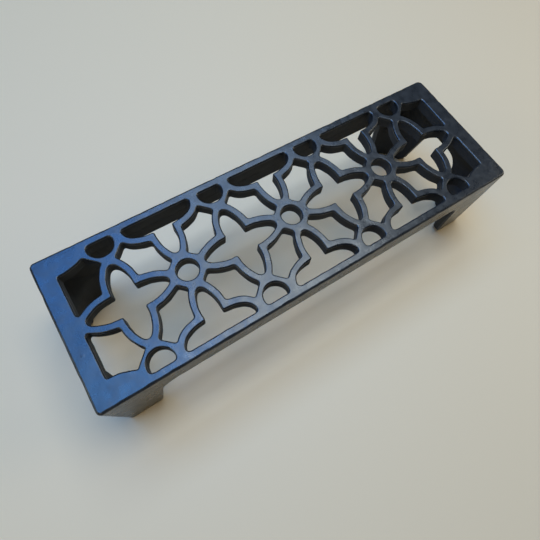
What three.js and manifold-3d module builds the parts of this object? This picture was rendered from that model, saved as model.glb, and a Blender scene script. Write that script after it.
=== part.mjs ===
// Cast-iron ventilation grille: a long flat face pierced with rosettes, a shallow band
// round it and four angled corner legs, all one casting.
// Millimetres, +Z up. X runs along the grille, Y across it, the feet stand on z = 0 and
// the origin is in the middle between them.
import * as THREE from 'three';
import { mergeVertices } from 'three/addons/utils/BufferGeometryUtils.js';
import Module from 'manifold-3d';

// The casting
const totalHeight = 51;
const plateThickness = 6.2;
const wallThickness = 4.1;
const bandDepth = 14.8;
const sideRim = 4.1;
const endRim = 8.7;
const cornerRadius = 3;
const rimRounding = 1.2;

// The legs, measured along either wall from the outer corner
const footWidth = 18;
const legRootWidth = 21.6;
const shoulderRadius = 9;
const footRounding = 3.5;

// The fretwork
const rosetteCount = 3;
const rosettePitch = 55.2;
const barWidth = 3.1;
const hubHoleRadius = 5.4;
const hubRing = 2.8;

// The four-lobed stars between the hubs
const starWaist = 10;
const starTipWall = 3.6;
const starTipRadius = 2;
const lobeSideRadius = 20.5;
const starToEndRim = 2.4;

// The half stars along the two long rims
const edgeStarDepth = 22.1;
const edgeStarWaist = 8.4;
const edgeKinkDepth = 8;
const edgeStarTipWall = 4.4;
const edgeLobeRound = 7;
const edgeStarGap = 4.5;
const edgeCornerRadius = 1.2;

// The solid corners of the fretwork, each with a round edge towards its corner hole
const cornerFillDepth = 7.4;

// The D-shaped holes between the half stars
const dHoleRadius = 6;
const dHoleInset = 2.05;
const dHoleCornerRadius = 1.5;
const dHoleRing = 2.75;
const dHoleEndRing = 2.15;

// Places worked out from the sizes above
const starReach = rosettePitch / 2 - hubHoleRadius - starTipWall;
const edgeStarTip = hubHoleRadius + edgeStarTipWall;
const fieldHalfWidth = edgeStarTip + edgeStarDepth;
const edgeStarReach = rosettePitch / 2 - dHoleRadius - edgeStarGap;
const fieldHalfLength = (rosetteCount * rosettePitch) / 2 + starReach + starToEndRim;
const halfLength = fieldHalfLength + endRim;
const halfWidth = fieldHalfWidth + sideRim;
const plateUnderside = totalHeight - plateThickness;
const bandUnderside = totalHeight - bandDepth;

// Steps in each curve, and how far a cutter runs past what it cuts
const lobeSteps = 5;
const tipSteps = 4;
const holeSteps = 24;
const discSides = 64;
const cornerSteps = 4;
const roundingSteps = 3;
const overrun = 1;

const wasm = await Module();
wasm.setup();

const iron = new THREE.MeshStandardMaterial({ color: 0x14161a, roughness: 0.38, metalness: 0.35 });

function toManifold(geometry) {
  const bare = geometry.index ? geometry.toNonIndexed() : geometry.clone();
  bare.deleteAttribute('normal');
  bare.deleteAttribute('uv');
  const merged = mergeVertices(bare, 1e-4);
  const mesh = new wasm.Mesh({
    numProp: 3,
    vertProperties: new Float32Array(merged.attributes.position.array),
    triVerts: new Uint32Array(merged.index.array),
  });
  return new wasm.Manifold(mesh);
}

function toGeometry(solid) {
  const mesh = solid.getMesh();
  const geometry = new THREE.BufferGeometry();
  geometry.setAttribute('position', new THREE.BufferAttribute(new Float32Array(mesh.vertProperties), 3));
  geometry.setIndex(new THREE.BufferAttribute(new Uint32Array(mesh.triVerts), 1));
  geometry.computeVertexNormals();
  return geometry;
}

function joinAll(solids) {
  return solids.reduce((sum, solid) => sum.add(solid));
}

// Points on an arc from one angle to another, both ends included
function arc(centre, radius, startAngle, endAngle, steps) {
  const points = [];
  for (let i = 0; i <= steps; i += 1) {
    const angle = startAngle + ((endAngle - startAngle) * i) / steps;
    const x = centre.x + radius * Math.cos(angle);
    const y = centre.y + radius * Math.sin(angle);
    points.push(new THREE.Vector2(x, y));
  }
  return points;
}

// Where two circles meet, on the left of the line from the first centre to the second
function circlesMeet(first, firstRadius, second, secondRadius) {
  const between = second.clone().sub(first);
  const gap = between.length();
  const along = (gap * gap + firstRadius ** 2 - secondRadius ** 2) / (2 * gap);
  const across = Math.sqrt(Math.max(firstRadius ** 2 - along ** 2, 0));
  const direction = between.divideScalar(gap);
  const side = new THREE.Vector2(-direction.y, direction.x);
  return first.clone().addScaledVector(direction, along).addScaledVector(side, across);
}

function directionTo(target, from) {
  return Math.atan2(target.y - from.y, target.x - from.x);
}

// One side of a pointed lobe that points along +Y: from the kink at its waist up to the
// middle of its rounded tip
function lobeSide(halfWaist, kinkHeight, reach, tipRadius, sideRadius) {
  const kink = new THREE.Vector2(halfWaist, kinkHeight);
  const tipCentre = new THREE.Vector2(0, reach - tipRadius);
  const sideCentre = circlesMeet(kink, sideRadius, tipCentre, sideRadius - tipRadius);
  const joinAngle = directionTo(tipCentre, sideCentre);
  return {
    side: arc(sideCentre, sideRadius, directionTo(kink, sideCentre), joinAngle, lobeSteps),
    tipCentre,
    tipRadius,
    joinAngle,
  };
}

// A whole lobe along +Y, from its right kink over the tip to its left kink
function lobe(halfWaist, kinkHeight, reach, tipRadius, sideRadius) {
  const half = lobeSide(halfWaist, kinkHeight, reach, tipRadius, sideRadius);
  const tip = arc(half.tipCentre, half.tipRadius, half.joinAngle, Math.PI - half.joinAngle, 2 * tipSteps);
  const left = half.side.map((point) => new THREE.Vector2(-point.x, point.y)).reverse();
  return [...half.side, ...tip.slice(1, -1), ...left];
}

// The outline of a four-lobed star about the origin, grown outwards by the given margin
function starOutline(grow) {
  const kink = starWaist / 2 + grow;
  const up = lobe(kink, kink, starReach + grow, starTipRadius + grow, lobeSideRadius + grow);
  const origin = new THREE.Vector2();
  const outline = [];
  for (let quarter = 0; quarter < 4; quarter += 1) {
    const turned = up.map((point) => point.clone().rotateAround(origin, (quarter * Math.PI) / 2));
    outline.push(...turned.slice(0, -1));
  }
  return outline;
}

// The rounded corner between a circle and a flat line above its centre, on the right
function cornerOnFlat(centre, radius, flat, rounding) {
  const rise = flat - rounding - centre.y;
  const cornerX = centre.x + Math.sqrt((radius - rounding) ** 2 - rise ** 2);
  const cornerCentre = new THREE.Vector2(cornerX, flat - rounding);
  const startAngle = directionTo(cornerCentre, centre);
  return { startAngle, points: arc(cornerCentre, rounding, startAngle, Math.PI / 2, cornerSteps) };
}

// The right side of a half star on the far rim, from its kink round to the rim line
function edgeLobe(grow) {
  const half = lobeSide(
    edgeKinkDepth + grow,
    edgeStarWaist / 2 + grow,
    edgeStarReach + grow,
    edgeLobeRound + grow,
    lobeSideRadius + grow,
  );
  const swap = (point) => new THREE.Vector2(point.y, fieldHalfWidth - point.x);
  const roundCentre = swap(half.tipCentre);
  const corner = cornerOnFlat(roundCentre, half.tipRadius, fieldHalfWidth, edgeCornerRadius);
  const joinAngle = half.joinAngle - Math.PI / 2;
  const round = arc(roundCentre, half.tipRadius, joinAngle, corner.startAngle, tipSteps);
  return [...half.side.map(swap), ...round.slice(1), ...corner.points.slice(1)];
}

// The outline of a half star on the far rim, its spike pointing at the hub on the origin
function edgeStarOutline(grow) {
  const right = edgeLobe(grow);
  const left = right.map((point) => new THREE.Vector2(-point.x, point.y)).reverse();
  const kinkHeight = edgeStarDepth - edgeKinkDepth;
  const spike = lobe(
    edgeStarWaist / 2 + grow,
    grow - kinkHeight,
    grow,
    starTipRadius + grow,
    lobeSideRadius + grow,
  ).map((point) => new THREE.Vector2(-point.x, edgeStarTip - point.y));
  return [...left, ...spike.slice(1, -1), ...right];
}

// The outline of a D-shaped hole, its flat side on the far rim
function dHoleOutline() {
  const centre = new THREE.Vector2(0, fieldHalfWidth - dHoleInset);
  const corner = cornerOnFlat(centre, dHoleRadius, fieldHalfWidth, dHoleCornerRadius);
  const bowlStart = Math.PI - corner.startAngle;
  const bowlEnd = 2 * Math.PI + corner.startAngle;
  const bowl = arc(centre, dHoleRadius, bowlStart, bowlEnd, holeSteps / 2);
  const left = corner.points.map((point) => new THREE.Vector2(-point.x, point.y)).reverse();
  return [...left, ...bowl.slice(1, -1), ...corner.points];
}

function circleOutline(radius, sides) {
  return arc(new THREE.Vector2(), radius, 0, 2 * Math.PI, sides).slice(0, -1);
}

// A block standing on its corner under a far D hole, its two lower sides at 45 degrees
// and as far outside the hole as the ring on that side
function dBossOutline(leftRing, rightRing) {
  const centreY = fieldHalfWidth - dHoleInset;
  const left = (dHoleRadius + leftRing) * Math.SQRT2;
  const right = (dHoleRadius + rightRing) * Math.SQRT2;
  return [
    new THREE.Vector2((right - left) / 2, centreY - (left + right) / 2),
    new THREE.Vector2(right, centreY),
    new THREE.Vector2(0, centreY + Math.max(left, right)),
    new THREE.Vector2(-left, centreY),
  ];
}

// The disc whose edge rounds off a far corner of the fretwork, centred on X = 0
function cornerFillOutline() {
  const radius = lobeSideRadius + barWidth;
  const centreY = fieldHalfWidth - cornerFillDepth + radius;
  return circleOutline(radius, discSides).map((point) => new THREE.Vector2(point.x, point.y + centreY));
}

function mirrorAcross(points) {
  return points.map((point) => new THREE.Vector2(point.x, -point.y));
}

function shiftAlong(points, distance) {
  return points.map((point) => new THREE.Vector2(point.x + distance, point.y));
}

// An upright prism through the face plate, running past both its sides
function plateCutter(outline, extra = 0) {
  const depth = plateThickness + 2 * (overrun + extra);
  const geometry = new THREE.ExtrudeGeometry(new THREE.Shape(outline), { depth, bevelEnabled: false });
  geometry.translate(0, 0, plateUnderside - overrun - extra);
  return toManifold(geometry);
}

// Hubs, half stars and the stars between them, as places along X
function placesAlong(count) {
  return Array.from({ length: count }, (unused, i) => (i - (count - 1) / 2) * rosettePitch);
}
const hubPlaces = placesAlong(rosetteCount);
const starPlaces = placesAlong(rosetteCount + 1);
const halfHubPlaces = [hubPlaces[0] - rosettePitch, hubPlaces[rosetteCount - 1] + rosettePitch];

// Every bar and boss of the fretwork, as solids taller than the plate
function fretworkBars() {
  const star = starOutline(barWidth);
  const edgeStar = edgeStarOutline(barWidth);
  const hubBoss = circleOutline((hubHoleRadius + hubRing) * Math.SQRT2, 4);
  const outlines = [];
  for (const x of starPlaces) {
    const leftRing = x === starPlaces[0] ? dHoleEndRing : dHoleRing;
    const rightRing = x === starPlaces[rosetteCount] ? dHoleEndRing : dHoleRing;
    const dBoss = dBossOutline(leftRing, rightRing);
    outlines.push(shiftAlong(star, x));
    outlines.push(shiftAlong(dBoss, x));
    outlines.push(mirrorAcross(shiftAlong(dBoss, x)));
  }
  for (const x of hubPlaces) {
    outlines.push(shiftAlong(hubBoss, x));
    outlines.push(shiftAlong(edgeStar, x));
    outlines.push(mirrorAcross(shiftAlong(edgeStar, x)));
  }
  for (const x of halfHubPlaces) {
    outlines.push(shiftAlong(hubBoss, x));
  }
  for (const x of [-fieldHalfLength, fieldHalfLength]) {
    outlines.push(shiftAlong(cornerFillOutline(), x));
    outlines.push(mirrorAcross(shiftAlong(cornerFillOutline(), x)));
  }
  return joinAll(outlines.map((outline) => plateCutter(outline, overrun)));
}

// What is cut away through the plate: the field between the bars, and every hole
function fretworkOpenings() {
  const field = plateCutter([
    new THREE.Vector2(-fieldHalfLength, -fieldHalfWidth),
    new THREE.Vector2(fieldHalfLength, -fieldHalfWidth),
    new THREE.Vector2(fieldHalfLength, fieldHalfWidth),
    new THREE.Vector2(-fieldHalfLength, fieldHalfWidth),
  ]);
  const star = starOutline(0);
  const edgeStar = edgeStarOutline(0);
  const dHole = dHoleOutline();
  const hubHole = circleOutline(hubHoleRadius, holeSteps);
  const holes = [];
  for (const x of starPlaces) {
    holes.push(shiftAlong(star, x));
    holes.push(shiftAlong(dHole, x));
    holes.push(mirrorAcross(shiftAlong(dHole, x)));
  }
  for (const x of hubPlaces) {
    holes.push(shiftAlong(hubHole, x));
    holes.push(shiftAlong(edgeStar, x));
    holes.push(mirrorAcross(shiftAlong(edgeStar, x)));
  }
  return joinAll([field.subtract(fretworkBars()), ...holes.map((outline) => plateCutter(outline))]);
}

// A rectangle with rounded corners, as points round its edge
function roundedPlan(halfX, halfY, radius) {
  const points = [];
  for (let corner = 0; corner < 4; corner += 1) {
    const signX = corner === 0 || corner === 3 ? 1 : -1;
    const signY = corner < 2 ? 1 : -1;
    const centre = new THREE.Vector2(signX * (halfX - radius), signY * (halfY - radius));
    const start = (corner * Math.PI) / 2;
    points.push(...arc(centre, radius, start, start + Math.PI / 2, cornerSteps));
  }
  return points;
}

// A closed skin over a stack of rings with the same number of points
function loft(rings) {
  const positions = rings.flatMap((ring) => ring.points.flatMap((point) => [point.x, point.y, ring.z]));
  const count = rings[0].points.length;
  const last = (rings.length - 1) * count;
  const index = [];
  for (let level = 0; level < rings.length - 1; level += 1) {
    for (let i = 0; i < count; i += 1) {
      const a = level * count + i;
      const b = level * count + ((i + 1) % count);
      index.push(a, b, b + count);
      index.push(a, b + count, a + count);
    }
  }
  for (let i = 1; i < count - 1; i += 1) {
    index.push(0, i + 1, i);
    index.push(last, last + i, last + i + 1);
  }
  const geometry = new THREE.BufferGeometry();
  geometry.setAttribute('position', new THREE.Float32BufferAttribute(positions, 3));
  geometry.setIndex(index);
  return geometry;
}

// The outer block, its top edge rounded
function outerBlock() {
  const rings = [{ z: 0, points: roundedPlan(halfLength, halfWidth, cornerRadius) }];
  for (let i = 0; i <= roundingSteps; i += 1) {
    const angle = (i / roundingSteps) * (Math.PI / 2);
    const inset = rimRounding * (1 - Math.cos(angle));
    const z = totalHeight - rimRounding + rimRounding * Math.sin(angle);
    rings.push({ z, points: roundedPlan(halfLength - inset, halfWidth - inset, cornerRadius - inset) });
  }
  return toManifold(loft(rings));
}

// The hollow behind the plate, inside the four walls
function hollow() {
  const innerCorner = Math.max(cornerRadius - wallThickness, cornerRadius / 2);
  const plan = roundedPlan(halfLength - wallThickness, halfWidth - wallThickness, innerCorner);
  return toManifold(
    loft([
      { z: -overrun, points: plan },
      { z: plateUnderside, points: plan },
    ]),
  );
}

// The space between two legs under one wall, drawn in the plane of that wall: straight
// legs that widen upwards, a round shoulder at each and the level edge of the band
function archOutline(halfSpan) {
  const footX = halfSpan - footWidth;
  const rootX = halfSpan - legRootWidth;
  const shoulderCentre = new THREE.Vector2(rootX - shoulderRadius, bandUnderside - shoulderRadius);
  const shoulder = arc(shoulderCentre, shoulderRadius, 0, Math.PI / 2, 2 * cornerSteps);
  const footCentre = new THREE.Vector2(footX + footRounding, footRounding);
  const foot = arc(footCentre, footRounding, -Math.PI / 2, -Math.PI, cornerSteps);
  const right = [new THREE.Vector2(footX + footRounding, -overrun), ...foot, ...shoulder];
  const left = right.map((point) => new THREE.Vector2(-point.x, point.y)).reverse();
  return [...right, ...left];
}

// A cutter along Y through both long walls, or along X through both end walls
function archCutter(halfSpan, halfReach, alongX) {
  const depth = 2 * (halfReach + overrun);
  const shape = new THREE.Shape(archOutline(halfSpan));
  const geometry = new THREE.ExtrudeGeometry(shape, { depth, bevelEnabled: false });
  geometry.translate(0, 0, -depth / 2);
  geometry.rotateX(Math.PI / 2);
  if (alongX) {
    geometry.rotateZ(Math.PI / 2);
  }
  return toManifold(geometry);
}

const casting = outerBlock()
  .subtract(hollow())
  .subtract(archCutter(halfLength, halfWidth, false))
  .subtract(archCutter(halfWidth, halfLength, true))
  .subtract(fretworkOpenings());

const grilleCasting = new THREE.Mesh(toGeometry(casting), iron);
grilleCasting.name = 'grille_casting';

const group = new THREE.Group();
group.add(grilleCasting);
export default group;
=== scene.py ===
# Black painted cast-iron ventilation grille, standing on its corner legs on a pale floor
import math

import bmesh
import bpy
from mathutils import Matrix, Vector, noise


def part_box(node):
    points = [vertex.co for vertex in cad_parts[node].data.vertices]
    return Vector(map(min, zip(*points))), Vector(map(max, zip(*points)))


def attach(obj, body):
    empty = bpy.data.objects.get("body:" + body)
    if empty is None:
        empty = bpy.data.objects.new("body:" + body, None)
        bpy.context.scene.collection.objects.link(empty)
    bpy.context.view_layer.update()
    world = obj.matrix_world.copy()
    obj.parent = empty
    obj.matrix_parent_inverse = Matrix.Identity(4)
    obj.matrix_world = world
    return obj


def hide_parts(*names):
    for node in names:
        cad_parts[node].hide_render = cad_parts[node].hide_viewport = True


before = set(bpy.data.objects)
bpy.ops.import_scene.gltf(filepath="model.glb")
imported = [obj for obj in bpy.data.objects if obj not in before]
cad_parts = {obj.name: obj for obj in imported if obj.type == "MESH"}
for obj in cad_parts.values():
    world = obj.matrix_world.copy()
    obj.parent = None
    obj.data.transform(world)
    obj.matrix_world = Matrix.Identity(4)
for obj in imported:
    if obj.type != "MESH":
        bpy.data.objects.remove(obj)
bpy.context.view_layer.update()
mm = 0.001

# The casting is drawn in millimetres, and made metres when its mesh is finished
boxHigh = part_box("grille_casting")[1]
casting = {
    "halfLength": boxHigh.x / mm,
    "halfWidth": boxHigh.y / mm,
    "height": boxHigh.z / mm,
    "plate": 6.2,           # thickness of the pierced face
    "band": 14.8,           # depth of the band round it
    "wall": 4.05,           # a hair under sideRim, so that the openings' sides run out cleanly
    "sideRim": 4.1,
    "endRim": 8.7,
    "corners": (3.0, 2.2, 2.2, 3.0),   # far right, far left, near left, near right
    "rimRound": 1.2,
    "footEdge": 0.6,
    "insideCorner": 2.0,
    "insideFillet": 1.6,
    "step": 1.6,            # between the points along a straight side, so that it can be dented
    "sliver": 0.004,        # points nearer to each other than this are merged after the cuts
}

legs = {
    "foot": 18.8,           # from the outer corner along either wall
    "root": 23.2,
    "shoulder": 9.0,
    "toe": 4.2,
    "edge": 0.6,
    "innerEdge": 0.25,
    "corner": 18.0,         # inside, the corner is filled out to this radius
    "fillTop": 20.0,        # from here it thins out, and it is gone at the band
}

fretwork = {
    "hubs": 3,
    "pitch": 55.2,
    "bar": 3.45,
    "hubHole": 5.05,
    "hubRing": 3.15,        # from a hub hole to the sides of its square boss
    "cornerFill": 7.4,      # how far the iron in the face's corners reaches in
    "topEdge": 0.75,        # rounding where an opening meets the face
    "underEdge": 0.5,
    "spacing": 0.55,        # between the points of a finished outline
    "softening": 4,         # passes that round an outline's corners
    "cornerSoftening": 1,
}

star = {
    "waist": 10.0,
    "tipWall": 3.95,        # between the tip and the hub hole
    "tip": 2.0,
    "side": 20.5,
}

halfStar = {
    "depth": 22.1,
    "waist": 8.4,
    "kink": 8.0,
    "tipWall": 4.75,
    "lobe": 7.0,
    "gap": 4.5,             # between the lobe and the D hole
    "corner": 1.2,
}

dHole = {
    "radius": 6.0,
    "inset": 2.05,
    "corner": 1.0,
    "ring": 2.75,
    "endRing": 2.15,
}

steps = {  # straight pieces that each curve is made of
    "lobe": 16,
    "flatCorner": 8,
    "bowl": 40,
    "hubHole": 96,
    "cornerFill": 192,
    "planCorner": 10,
    "shoulder": 24,
    "toe": 12,
    "rim": 6,
    "openingEdge": 4,
    "archEdge": 3,
    "legFill": 8,
}

overrun = 1.0            # how far a cutter stands out of what it cuts
hair = 0.01              # keeps two faces from lying exactly in each other
fieldX = casting["halfLength"] - casting["endRim"]
fieldY = casting["halfWidth"] - casting["sideRim"]
plateUnderside = casting["height"] - casting["plate"]
bandUnderside = casting["height"] - casting["band"]
starReach = fretwork["pitch"] / 2 - fretwork["hubHole"] - star["tipWall"]
halfStarTip = fretwork["hubHole"] + halfStar["tipWall"]
halfStarReach = fretwork["pitch"] / 2 - dHole["radius"] - halfStar["gap"]


# Outlines: lists of points in the plane, going round anticlockwise
def arc(centre, radius, start, end, count):
    turns = [start + (end - start) * i / count for i in range(count + 1)]
    return [centre + radius * Vector((math.cos(t), math.sin(t))) for t in turns]


def directionTo(target, origin):
    return math.atan2(target.y - origin.y, target.x - origin.x)


def circlesMeet(first, firstRadius, second, secondRadius):
    gap = (second - first).length
    along = (gap**2 + firstRadius**2 - secondRadius**2) / (2 * gap)
    across = math.sqrt(max(firstRadius**2 - along**2, 0))
    way = (second - first) / gap
    return first + way * along + Vector((-way.y, way.x)) * across


def lobeSide(halfWaist, kinkHeight, reach, tipRadius, sideRadius):
    kink = Vector((halfWaist, kinkHeight))
    tipCentre = Vector((0, reach - tipRadius))
    sideCentre = circlesMeet(kink, sideRadius, tipCentre, sideRadius - tipRadius)
    join = directionTo(tipCentre, sideCentre)
    side = arc(sideCentre, sideRadius, directionTo(kink, sideCentre), join, steps["lobe"])
    return side, tipCentre, join


def lobe(halfWaist, kinkHeight, reach, tipRadius, sideRadius):
    side, tipCentre, join = lobeSide(halfWaist, kinkHeight, reach, tipRadius, sideRadius)
    tip = arc(tipCentre, tipRadius, join, math.pi - join, steps["lobe"])
    return side + tip[1:-1] + [Vector((-p.x, p.y)) for p in reversed(side)]


def starOutline(grow):
    kink = star["waist"] / 2 + grow
    up = lobe(kink, kink, starReach + grow, star["tip"] + grow, star["side"] + grow)
    outline = []
    for quarter in range(4):
        turn = Matrix.Rotation(quarter * math.pi / 2, 2)
        outline += [turn @ p for p in up[:-1]]
    return outline


def cornerOnFlat(centre, radius, flat, rounding):  # where a circle runs into a straight side
    rise = flat - rounding - centre.y
    corner = Vector((centre.x + math.sqrt((radius - rounding) ** 2 - rise**2), flat - rounding))
    start = directionTo(corner, centre)
    return start, arc(corner, rounding, start, math.pi / 2, steps["flatCorner"])


def halfStarOutline(grow):
    radius = halfStar["lobe"] + grow
    side, tipCentre, join = lobeSide(
        halfStar["kink"] + grow,
        halfStar["waist"] / 2 + grow,
        halfStarReach + grow,
        radius,
        star["side"] + grow,
    )
    centre = Vector((tipCentre.y, fieldY - tipCentre.x))
    start, corner = cornerOnFlat(centre, radius, fieldY, halfStar["corner"])
    right = [Vector((p.y, fieldY - p.x)) for p in side]
    right += arc(centre, radius, join - math.pi / 2, start, steps["lobe"])[1:] + corner[1:]
    spike = lobe(
        halfStar["waist"] / 2 + grow,
        grow - (halfStar["depth"] - halfStar["kink"]),
        grow,
        star["tip"] + grow,
        star["side"] + grow,
    )
    left = [Vector((-p.x, p.y)) for p in reversed(right)]
    return left + [Vector((-p.x, halfStarTip - p.y)) for p in spike[1:-1]] + right


def dHoleOutline():
    centre = Vector((0, fieldY - dHole["inset"]))
    start, corner = cornerOnFlat(centre, dHole["radius"], fieldY, dHole["corner"])
    bowl = arc(centre, dHole["radius"], math.pi - start, 2 * math.pi + start, steps["bowl"])
    return [Vector((-p.x, p.y)) for p in reversed(corner)] + bowl[1:-1] + corner


def circleOutline(radius, sides):
    return arc(Vector((0, 0)), radius, 0, 2 * math.pi, sides)[:-1]


def dBossOutline(leftRing, rightRing):
    y = fieldY - dHole["inset"]
    left = (dHole["radius"] + leftRing) * math.sqrt(2)
    right = (dHole["radius"] + rightRing) * math.sqrt(2)
    near = Vector(((right - left) / 2, y - (left + right) / 2))
    return [near, Vector((right, y)), Vector((0, y + max(left, right))), Vector((-left, y))]


def cornerFillOutline():
    radius = star["side"] + fretwork["bar"]
    y = fieldY - fretwork["cornerFill"] + radius
    return [p + Vector((0, y)) for p in circleOutline(radius, steps["cornerFill"])]


def shifted(outline, x):
    return [p + Vector((x, 0)) for p in outline]


def evened(outline, spacing):  # the same outline with its points an equal way apart
    ends = outline[1:] + outline[:1]
    lengths = [(b - a).length for a, b in zip(outline, ends)]
    count = round(sum(lengths) / spacing)
    step = sum(lengths) / count
    points, travelled, target = [], 0.0, 0.0
    for a, b, length in zip(outline, ends, lengths):
        while length > 0 and target < travelled + length and len(points) < count:
            points.append(a.lerp(b, (target - travelled) / length))
            target += step
        travelled += length
    return points


def softened(outline, passes):  # rounds the corners off, as sand and paint do
    for _ in range(passes):
        outline = [
            (outline[i - 1] + 2 * p + outline[(i + 1) % len(outline)]) / 4
            for i, p in enumerate(outline)
        ]
    return outline


def grown(outline, margin):  # every point moved out square to the outline
    longestMitre = 2
    points = []
    for i, p in enumerate(outline):
        along = (outline[(i + 1) % len(outline)] - outline[i - 1]).normalized()
        before = (p - outline[i - 1]).normalized()
        share = max(along.dot(before), 1 / longestMitre)
        points.append(p + Vector((along.y, -along.x)) * margin / share)
    return points


def upright(outline, z):
    return [Vector((p.x, p.y, z)) for p in outline]


def roundedEdge(level, radius, count, side=1):  # heights and insets up to a level, or down to it
    turns = [i * math.pi / 2 / count for i in range(count + 1)]
    return [
        (level - side * radius * (1 - math.sin(turn)), radius * (1 - math.cos(turn)))
        for turn in turns
    ]


# Meshes and the objects that cut with them
def addSkin(bm, rings):  # a closed skin over rings with the same number of points
    rows = [[bm.verts.new(p) for p in ring] for ring in rings]
    count = len(rows[0])
    faces = [bm.faces.new(list(reversed(rows[0]))), bm.faces.new(rows[-1])]
    for lower, upper in zip(rows, rows[1:]):
        for i in range(count):
            j = (i + 1) % count
            faces.append(bm.faces.new((lower[i], lower[j], upper[j], upper[i])))
    bmesh.ops.recalc_face_normals(bm, faces=faces)


def linkedObject(name, data):
    made = bpy.data.objects.new(name, data)
    bpy.context.scene.collection.objects.link(made)
    return made


def meshObject(name, bm):
    mesh = bpy.data.meshes.new(name)
    bm.to_mesh(mesh)
    bm.free()
    return linkedObject(name, mesh)


def finishedMesh(made):  # the mesh of an object with its modifiers made real
    bpy.context.view_layer.update()
    return bpy.data.meshes.new_from_object(made.evaluated_get(bpy.context.evaluated_depsgraph_get()))


def cutterThroughPlate(name, outlines, roundUnder, softening):
    top, under = fretwork["topEdge"], fretwork["underEdge"]
    underside, face = plateUnderside - hair, casting["height"] + hair
    if roundUnder:
        levels = [(underside - overrun, under)]
        levels += reversed(roundedEdge(underside, under, steps["openingEdge"], -1))
    else:
        levels = [(underside - casting["insideFillet"] - overrun, 0.0)]
    levels += roundedEdge(face, top, steps["openingEdge"])
    levels.append((face + overrun, top))
    bm = bmesh.new()
    for outline in outlines:
        smooth = softened(evened(outline, fretwork["spacing"]), softening)
        addSkin(bm, [upright(grown(smooth, grow), z) for z, grow in levels])
    return meshObject(name, bm)


def gapOutlines():  # the openings that are left between the bars, on the far half of the face
    pitch, bar = fretwork["pitch"], fretwork["bar"]
    stars = [(i - fretwork["hubs"] / 2) * pitch for i in range(fretwork["hubs"] + 1)]
    hubs = [x - pitch / 2 for x in stars] + [stars[-1] + pitch / 2]
    bars = [shifted(starOutline(bar), x) for x in stars]
    bars += [shifted(halfStarOutline(bar), x) for x in hubs[1:-1]]
    hubBoss = circleOutline((fretwork["hubHole"] + fretwork["hubRing"]) * math.sqrt(2), 4)
    bars += [shifted(hubBoss, x) for x in hubs]
    bars += [shifted(cornerFillOutline(), x) for x in (-fieldX, fieldX)]
    for x in stars:
        leftRing = dHole["endRing"] if x == stars[0] else dHole["ring"]
        rightRing = dHole["endRing"] if x == stars[-1] else dHole["ring"]
        bars.append(shifted(dBossOutline(leftRing, rightRing), x))
    corners = ((-fieldX, 0), (fieldX, 0), (fieldX, fieldY), (-fieldX, fieldY))
    field = [Vector(corner) for corner in corners]
    slab, work = bmesh.new(), bmesh.new()
    addSkin(slab, [upright(field, 0), upright(field, overrun)])
    for outline in bars:
        addSkin(work, [upright(outline, -overrun), upright(outline, 2 * overrun)])
    gaps, barWork = meshObject("gaps", slab), meshObject("bars", work)
    cut = gaps.modifiers.new("cut", "BOOLEAN")
    cut.operation, cut.solver, cut.use_self, cut.object = "DIFFERENCE", "EXACT", True, barWork
    outlines = faceOutlines(finishedMesh(gaps))
    for made in (gaps, barWork):
        bpy.data.objects.remove(made)
    return outlines


def faceOutlines(mesh):  # the edges of the faces that look up, as outlines
    nearlyUp = 0.9
    bm = bmesh.new()
    bm.from_mesh(mesh)
    following = {}
    for face in bm.faces:
        if face.normal.z > nearlyUp:
            for corner in face.loops:
                if corner.link_loop_radial_next.face.normal.z < nearlyUp:
                    following[corner.vert] = corner.link_loop_next.vert
    outlines = []
    while following:
        vert = next(iter(following))
        outline = []
        while vert in following:
            outline.append(vert.co.xy.copy())
            vert = following.pop(vert)
        outlines.append(outline)
    bm.free()
    return outlines


# The casting before its face is pierced
def roundedPlan(halfX, halfY, radii):  # a radius for each corner, from the far right one round
    points = []
    for corner, radius in enumerate(radii):
        sideX = 1 if corner in (0, 3) else -1
        sideY = 1 if corner < 2 else -1
        centre = Vector((sideX * (halfX - radius), sideY * (halfY - radius)))
        start = corner * math.pi / 2
        points += arc(centre, radius, start, start + math.pi / 2, steps["planCorner"])
    return points


def outerPlan(inset):
    radii = [radius - inset for radius in casting["corners"]]
    plan = roundedPlan(casting["halfLength"] - inset, casting["halfWidth"] - inset, radii)
    points = []
    for p, following in zip(plan, plan[1:] + plan[:1]):
        count = round((following - p).length / casting["step"]) or 1
        points += [p.lerp(following, share / count) for share in range(count)]
    return points


def blockObject():
    levels = list(reversed(roundedEdge(0, casting["footEdge"], steps["rim"], -1)))
    levels += roundedEdge(casting["height"], casting["rimRound"], steps["rim"])
    bm = bmesh.new()
    addSkin(bm, [upright(outerPlan(inset), z) for z, inset in levels])
    return meshObject("casting", bm)


def hollowCutter():
    foot, corner, filled = casting["footEdge"], casting["insideCorner"], legs["corner"]
    levels = [(-overrun, -foot, filled), (-hair, -foot, filled)]
    levels += [(foot / 2, -foot / 4, filled), (foot, 0.0, filled)]   # the feet's inner edges
    for i in range(steps["legFill"] + 1):
        share = i / steps["legFill"]
        height = legs["fillTop"] + (bandUnderside - legs["fillTop"]) * share
        left = (1 + math.cos(share * math.pi)) / 2
        levels.append((height, 0.0, corner + (filled - corner) * left))
    for height, inset in roundedEdge(plateUnderside, casting["insideFillet"], steps["rim"]):
        levels.append((height, inset, corner))
    halfX = casting["halfLength"] - casting["wall"]
    halfY = casting["halfWidth"] - casting["wall"]
    bm = bmesh.new()
    addSkin(bm, [
        upright(roundedPlan(halfX - inset, halfY - inset, 4 * [radius - inset]), z)
        for z, inset, radius in levels
    ])
    return meshObject("hollow", bm)


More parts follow.
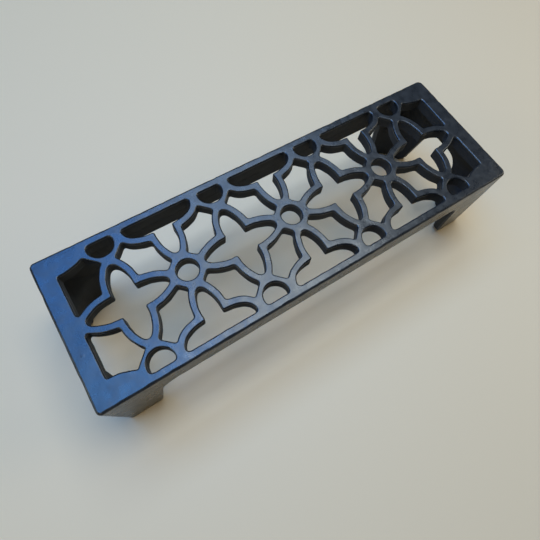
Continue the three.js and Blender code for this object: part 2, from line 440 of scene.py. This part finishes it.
def archOutline(halfSpan):
    footX, rootX = halfSpan - legs["foot"], halfSpan - legs["root"]
    toe, radius = legs["toe"], legs["shoulder"]
    shoulderCentre = Vector((rootX - radius, bandUnderside - radius))
    shoulder = arc(shoulderCentre, radius, 0, math.pi / 2, steps["shoulder"])
    foot = arc(Vector((footX + toe, toe)), toe, -math.pi / 2, -math.pi, steps["toe"])
    right = [Vector((footX + toe, -overrun))] + foot + shoulder
    return right + [Vector((-p.x, p.y)) for p in reversed(right)]


def archCutters():  # the ways between the legs, their edges rounded on both faces of the wall
    edge, innerEdge = legs["edge"], legs["innerEdge"]
    bm = bmesh.new()
    for halfSpan, outer, turn in (
        (casting["halfLength"], casting["halfWidth"], 0),
        (casting["halfWidth"], casting["halfLength"], math.pi / 2),
    ):
        inner = outer - casting["wall"]
        levels = [(outer + overrun, edge)]
        levels += reversed(roundedEdge(outer + hair, edge, steps["archEdge"]))
        levels += roundedEdge(inner - hair, innerEdge, steps["archEdge"], -1)
        levels.append((inner - overrun, innerEdge))
        outline = archOutline(halfSpan)
        for side in (turn, turn + math.pi):
            place = Matrix.Rotation(side, 3, "Z")
            addSkin(bm, [
                [place @ Vector((p.x, reach, p.y)) for p in grown(outline, grow)]
                for reach, grow in levels
            ])
    return meshObject("arches", bm)


# Nodes, for the tree that pierces the face and for the paint
def addNode(tree, kind, inputs=None, **settings):
    made = tree.nodes.new(kind)
    for name, value in settings.items():
        setattr(made, name, value)
    for name, value in (inputs or {}).items():
        if isinstance(value, bpy.types.NodeSocket):
            tree.links.new(value, made.inputs[name])
        else:
            made.inputs[name].default_value = value
    return made


def mathNode(tree, operation, first, second):
    return addNode(tree, "ShaderNodeMath", {0: first, 1: second}, operation=operation).outputs[0]


def rowOf(tree, given, opening, count, turned):  # openings along the grille, and the same turned
    halfRow = mathNode(tree, "MULTIPLY", mathNode(tree, "SUBTRACT", count, 1), -0.5)
    first = mathNode(tree, "MULTIPLY", halfRow, given["Pitch"])
    start = addNode(tree, "ShaderNodeCombineXYZ", {"X": first}).outputs[0]
    step = addNode(tree, "ShaderNodeCombineXYZ", {"X": given["Pitch"]}).outputs[0]
    places = {"Count": count, "Start Location": start, "Offset": step}
    line = addNode(tree, "GeometryNodeMeshLine", places, mode="OFFSET")
    source = addNode(tree, "GeometryNodeObjectInfo", {"Object": given[opening]})
    placed = addNode(tree, "GeometryNodeInstanceOnPoints", {
        "Points": line.outputs["Mesh"],
        "Instance": source.outputs["Geometry"],
    })
    row = [placed.outputs["Instances"]]
    if turned:
        halfTurn = {"Geometry": placed.outputs["Instances"], "Rotation": (0, 0, math.pi)}
        row.append(addNode(tree, "GeometryNodeTransform", halfTurn).outputs["Geometry"])
    return row


def piercingTree():
    tree = bpy.data.node_groups.new("pierceFace", "GeometryNodeTree")
    sockets = {"Casting": "Geometry", "Pitch": "Float", "Hubs": "Int", "Paint": "Material"}
    for name in ("Hollow", "Arches", "Hub hole", "Shields", "Half star", "Star", "D hole", "Corners"):
        sockets[name] = "Object"
    for name, kind in sockets.items():
        tree.interface.new_socket(name, in_out="INPUT", socket_type="NodeSocket" + kind)
    tree.interface.new_socket("Casting", in_out="OUTPUT", socket_type="NodeSocketGeometry")
    given = addNode(tree, "NodeGroupInput").outputs
    stars = mathNode(tree, "ADD", given["Hubs"], 1)
    single = addNode(tree, "FunctionNodeInputInt", integer=1).outputs[0]
    rows = rowOf(tree, given, "Hub hole", given["Hubs"], False)
    rows += rowOf(tree, given, "Shields", given["Hubs"], True)
    rows += rowOf(tree, given, "Half star", given["Hubs"], True)
    rows += rowOf(tree, given, "Star", stars, False)
    rows += rowOf(tree, given, "D hole", stars, True)
    rows += rowOf(tree, given, "Corners", single, True)
    joined = addNode(tree, "GeometryNodeJoinGeometry")
    for row in rows:
        tree.links.new(row, joined.inputs[0])
    cutters = [
        addNode(tree, "GeometryNodeObjectInfo", {"Object": given[name]}).outputs["Geometry"]
        for name in ("Hollow", "Arches")
    ]
    cutters.append(addNode(tree, "GeometryNodeRealizeInstances", {0: joined.outputs[0]}).outputs[0])
    result = given["Casting"]
    for cutter in cutters:
        cut = addNode(
            tree, "GeometryNodeMeshBoolean", {"Mesh 1": result, "Mesh 2": cutter},
            operation="DIFFERENCE", solver="MANIFOLD",
        )
        result = cut.outputs["Mesh"]
    finish = {"Geometry": result, "Material": given["Paint"]}
    painted = addNode(tree, "GeometryNodeSetMaterial", finish).outputs[0]
    whole = addNode(tree, "GeometryNodeRealizeInstances", {0: painted}).outputs[0]
    addNode(tree, "NodeGroupOutput", {0: whole})
    return tree


def castingMesh(paint):
    gaps = gapOutlines()
    middle = [sum(outline, Vector((0, 0))) / len(outline) for outline in gaps]
    pitch, soft = fretwork["pitch"], fretwork["softening"]
    lastStar = fretwork["hubs"] / 2 * pitch
    shields = [outline for outline, at in zip(gaps, middle) if abs(at.x) < pitch / 2]
    corners = [outline for outline, at in zip(gaps, middle) if abs(at.x) > lastStar]
    print("gaps between the bars:", len(gaps), "round a hub:", len(shields), "corners:", len(corners))
    hubHole = circleOutline(fretwork["hubHole"], steps["hubHole"])
    cutters = {
        "Hollow": hollowCutter(),
        "Arches": archCutters(),
        "Hub hole": cutterThroughPlate("hubHole", [hubHole], True, soft),
        "Shields": cutterThroughPlate("shields", shields, True, soft),
        "Half star": cutterThroughPlate("halfStar", [halfStarOutline(0)], False, soft),
        "Star": cutterThroughPlate("star", [starOutline(0)], True, soft),
        "D hole": cutterThroughPlate("dHole", [dHoleOutline()], False, soft),
        "Corners": cutterThroughPlate("corners", corners, False, fretwork["cornerSoftening"]),
    }
    block = blockObject()
    pierce = block.modifiers.new("pierceFace", "NODES")
    pierce.node_group = piercingTree()
    settings = {"Pitch": pitch, "Hubs": fretwork["hubs"], "Paint": paint, **cutters}
    for item in pierce.node_group.interface.items_tree:
        if item.item_type == "SOCKET" and item.in_out == "INPUT" and item.name in settings:
            pierce[item.identifier] = settings[item.name]
    mesh = finishedMesh(block)
    for made in (block, *cutters.values()):
        bpy.data.objects.remove(made)
    return mesh


unevenness = {  # as sand casting leaves it
    "seed": 11,             # any whole number but 0, which would take the clock's
    "wave": 9.0,            # how long a swing of the walls is
    "drift": 0.16,          # and how far it goes
    "ripple": 2.6,
    "rippleDrift": 0.11,
    "margin": 1.3,          # the outer sides stay flat, and the wandering grows in behind them
    "fade": 2.0,
    "dentWave": 3.5,
    "dent": 0.35,           # deepest dent in the outer rim, always inwards
}

shading = {
    "sharpAngle": 40,       # degrees
    "flatWeight": 90,
}


def cleanedCasting(mesh):
    bm = bmesh.new()
    bm.from_mesh(mesh)
    bmesh.ops.remove_doubles(bm, verts=bm.verts, dist=casting["sliver"])
    bmesh.ops.dissolve_degenerate(bm, edges=bm.edges, dist=casting["sliver"])
    bm.to_mesh(mesh)
    bm.free()


def roughenedCasting(mesh):
    noise.seed_set(unevenness["seed"])
    sides = (casting["halfLength"], casting["halfWidth"])
    for vert in mesh.vertices:
        inside = min(half - abs(vert.co[axis]) for axis, half in enumerate(sides))
        share = min(max(inside - unevenness["margin"], 0) / unevenness["fade"], 1)
        drift = noise.noise_vector(vert.co / unevenness["wave"]) * unevenness["drift"]
        drift += noise.noise_vector(vert.co / unevenness["ripple"]) * unevenness["rippleDrift"]
        vert.co += share * Vector((drift.x, drift.y, 0))
        if vert.co.z > plateUnderside and inside < casting["rimRound"]:
            dent = max(noise.noise(vert.co / unevenness["dentWave"]), 0) * unevenness["dent"]
            for axis, half in enumerate(sides):
                if half - abs(vert.co[axis]) < casting["rimRound"]:
                    vert.co[axis] -= math.copysign(dent, vert.co[axis])


def shadedMesh(mesh):  # smooth over the rounded edges, flat on the flat faces
    mesh.shade_smooth()
    mesh.set_sharp_from_angle(angle=math.radians(shading["sharpAngle"]))
    shaped = linkedObject("shaped", mesh)
    even = shaped.modifiers.new("even", "WEIGHTED_NORMAL")
    even.mode, even.weight, even.keep_sharp = "FACE_AREA", shading["flatWeight"], True
    finished = finishedMesh(shaped)
    bpy.data.objects.remove(shaped)
    return finished


# Looks
paintLook = {
    "colour": (0.005, 0.006, 0.008, 1),
    "thin": (0.012, 0.013, 0.015, 1),   # where the paint lies thinner
    "gloss": 0.24,
    "dull": 0.36,
    "rough": 0.72,                      # inside, where the sand of the mould still shows
    "patches": {"Scale": 260.0, "Detail": 4.0},
    "patchRange": (0.3, 0.7),           # of the noise, from glossy to dull
    "swell": {"Scale": 90.0, "Detail": 1.0},
    "peel": {"Scale": 520.0, "Detail": 2.0},
    "nibs": {"Scale": 130.0},
    "nibReach": 0.14,
    "nibFew": 0.93,                     # the share of cells that have none
    "swellHeight": 0.0004,              # heights are in metres
    "peelHeight": 0.00007,
    "nibHeight": 0.00012,
    "skinDepth": 0.8,                   # millimetres in from the box, where the gloss ends
    "skinFade": 0.985,
}


def rangeNode(tree, value, low, high, atLow, atHigh):
    made = addNode(tree, "ShaderNodeMapRange", {
        "Value": value, "From Min": low, "From Max": high, "To Min": atLow, "To Max": atHigh,
    })
    return made.outputs[0]


def bumpNode(tree, height, distance, under=None):
    inputs = {"Height": height, "Strength": 1.0, "Distance": distance}
    if under is not None:
        inputs["Normal"] = under
    return addNode(tree, "ShaderNodeBump", inputs).outputs[0]


def insideShare(tree, place):  # 1 behind the outer skin, 0 on it, from the place in the box
    reach = addNode(tree, "ShaderNodeVectorMath", {0: place}, operation="ABSOLUTE").outputs[0]
    skin = [(casting[side] - paintLook["skinDepth"]) * mm for side in ("halfLength", "halfWidth", "height")]
    shares = {0: reach, 1: [1 / depth for depth in skin]}
    scaled = addNode(tree, "ShaderNodeVectorMath", shares, operation="MULTIPLY").outputs[0]
    axes = addNode(tree, "ShaderNodeSeparateXYZ", {0: scaled}).outputs
    sideways = mathNode(tree, "MAXIMUM", axes[0], axes[1])
    outward = mathNode(tree, "MAXIMUM", sideways, axes[2])
    return rangeNode(tree, outward, paintLook["skinFade"], 1.0, 1.0, 0.0)


def nibHeights(tree, place):  # grains of dust under the paint, in a few of the cells
    cells = addNode(tree, "ShaderNodeTexVoronoi", {"Vector": place, **paintLook["nibs"]}).outputs
    dome = rangeNode(tree, cells["Distance"], 0.0, paintLook["nibReach"], 1.0, 0.0)
    chance = addNode(tree, "ShaderNodeSeparateColor", {0: cells["Color"]}).outputs[0]
    chosen = mathNode(tree, "GREATER_THAN", chance, paintLook["nibFew"])
    return mathNode(tree, "MULTIPLY", dome, chosen)


def blackPaint():
    material = bpy.data.materials.new("blackPaint")
    material.use_nodes = True
    tree = material.node_tree
    tree.nodes.clear()
    place = addNode(tree, "ShaderNodeTexCoord").outputs["Object"]
    patches, swell, peel = (
        addNode(tree, "ShaderNodeTexNoise", {"Vector": place, **paintLook[name]}).outputs["Fac"]
        for name in ("patches", "swell", "peel")
    )
    tint = addNode(tree, "ShaderNodeMix", data_type="RGBA", inputs={
        0: patches, 6: paintLook["colour"], 7: paintLook["thin"],
    }).outputs[2]
    dullness = rangeNode(tree, patches, *paintLook["patchRange"], paintLook["gloss"], paintLook["dull"])
    roughness = addNode(tree, "ShaderNodeMix", data_type="FLOAT", inputs={
        0: insideShare(tree, place), 2: dullness, 3: paintLook["rough"],
    }).outputs[0]
    bumps = bumpNode(tree, swell, paintLook["swellHeight"])
    bumps = bumpNode(tree, peel, paintLook["peelHeight"], bumps)
    bumps = bumpNode(tree, nibHeights(tree, place), paintLook["nibHeight"], bumps)
    shader = addNode(tree, "ShaderNodeBsdfPrincipled", {
        "Base Color": tint, "Roughness": roughness, "Normal": bumps,
    })
    addNode(tree, "ShaderNodeOutputMaterial", {"Surface": shader.outputs[0]})
    return material


studio = {
    "floorHalf": 3.0,       # metres
    "floorColour": (0.57, 0.415, 0.25, 1),
    "floorRoughness": 0.6,
    "room": (0.108, 0.117, 0.096, 1),
}

lamps = {  # place and size in metres, power in watts; all are soft and aimed at the grille
    "windowNear": {
        "place": (0.22, 0.12, 0.95), "size": (0.56, 0.32),
        "watts": 5.2, "colour": (0.82, 0.93, 1),
    },
    "windowFar": {
        "place": (0.23, 0.52, 0.95), "size": (0.56, 0.32),
        "watts": 4.1, "colour": (0.42, 0.64, 1),
    },
    "skyNear": {
        "place": (-0.24, 0.12, 0.95), "size": (0.52, 0.32),
        "watts": 5.0, "colour": (0.12, 0.4, 1),
    },
    "skyFar": {
        "place": (-0.24, 0.52, 0.95), "size": (0.52, 0.32),
        "watts": 4.5, "colour": (0.08, 0.33, 1),
    },
    "front": {
        "place": (-0.75, -0.6, 0.9), "size": (0.5, 0.5),
        "watts": 1.8, "colour": (1, 0.93, 0.8),
    },
    "right": {
        "place": (1.0, -0.25, 0.5), "size": (0.3, 0.6),
        "watts": 2.6, "colour": (1, 0.97, 0.82),
    },
    "left": {
        "place": (-1.0, 0.1, 0.55), "size": (0.3, 0.6),
        "watts": 1.8, "colour": (0.9, 1, 0.85),
    },
}

camera = {  # fitted to the photograph, 540 pixels square; millimetres and degrees
    "place": (-69.1, -65.4, 214.2),
    "aim": (-24.1, -18.7, 51.0),
    "roll": 12.42,
    "lens": 26.24,
    "sensor": 36.0,
    "nearest": 10.0,
}


def paleFloor():
    material = bpy.data.materials.new("paleFloor")
    material.use_nodes = True
    shader = material.node_tree.nodes["Principled BSDF"]
    shader.inputs["Base Color"].default_value = studio["floorColour"]
    shader.inputs["Roughness"].default_value = studio["floorRoughness"]
    bm = bmesh.new()
    bmesh.ops.create_grid(bm, x_segments=1, y_segments=1, size=studio["floorHalf"])
    floor = meshObject("floor", bm)
    floor.data.materials.append(material)


def setLamps():
    down = Vector((0, 0, -1))
    for name, lamp in lamps.items():
        light = bpy.data.lights.new(name, "AREA")
        light.shape = "RECTANGLE"
        light.size, light.size_y = lamp["size"]
        light.energy, light.color = lamp["watts"], lamp["colour"]
        placed = linkedObject(name, light)
        placed.location = lamp["place"]
        placed.rotation_euler = down.rotation_difference(-placed.location).to_euler()


def setRoom():
    world = bpy.data.worlds.new("room")
    world.use_nodes = True
    background = world.node_tree.nodes["Background"]
    background.inputs["Color"].default_value = studio["room"]
    background.inputs["Strength"].default_value = 1.0
    bpy.context.scene.world = world
    bpy.context.scene.view_settings.view_transform = "Standard"


def setCamera():
    view = bpy.data.cameras.new("camera")
    view.lens, view.sensor_width = camera["lens"], camera["sensor"]
    view.clip_start = camera["nearest"] * mm
    placed = linkedObject("camera", view)
    placed.location = Vector(camera["place"]) * mm
    away = Vector(camera["aim"]) * mm - placed.location
    roll = Matrix.Rotation(math.radians(camera["roll"]), 3, "Z")
    placed.rotation_euler = (away.to_track_quat("-Z", "Y").to_matrix() @ roll).to_euler()
    bpy.context.scene.camera = placed


setCamera()
setLamps()
setRoom()
paleFloor()
print("camera, lamps and floor are set")

mesh = castingMesh(blackPaint())
print("casting is cut out")
cleanedCasting(mesh)
roughenedCasting(mesh)
mesh = shadedMesh(mesh)
mesh.transform(Matrix.Scale(mm, 4))
grille = linkedObject("grille", mesh)
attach(grille, "root")
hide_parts("grille_casting")
print("casting:", len(mesh.vertices), "points", len(mesh.polygons), "faces")
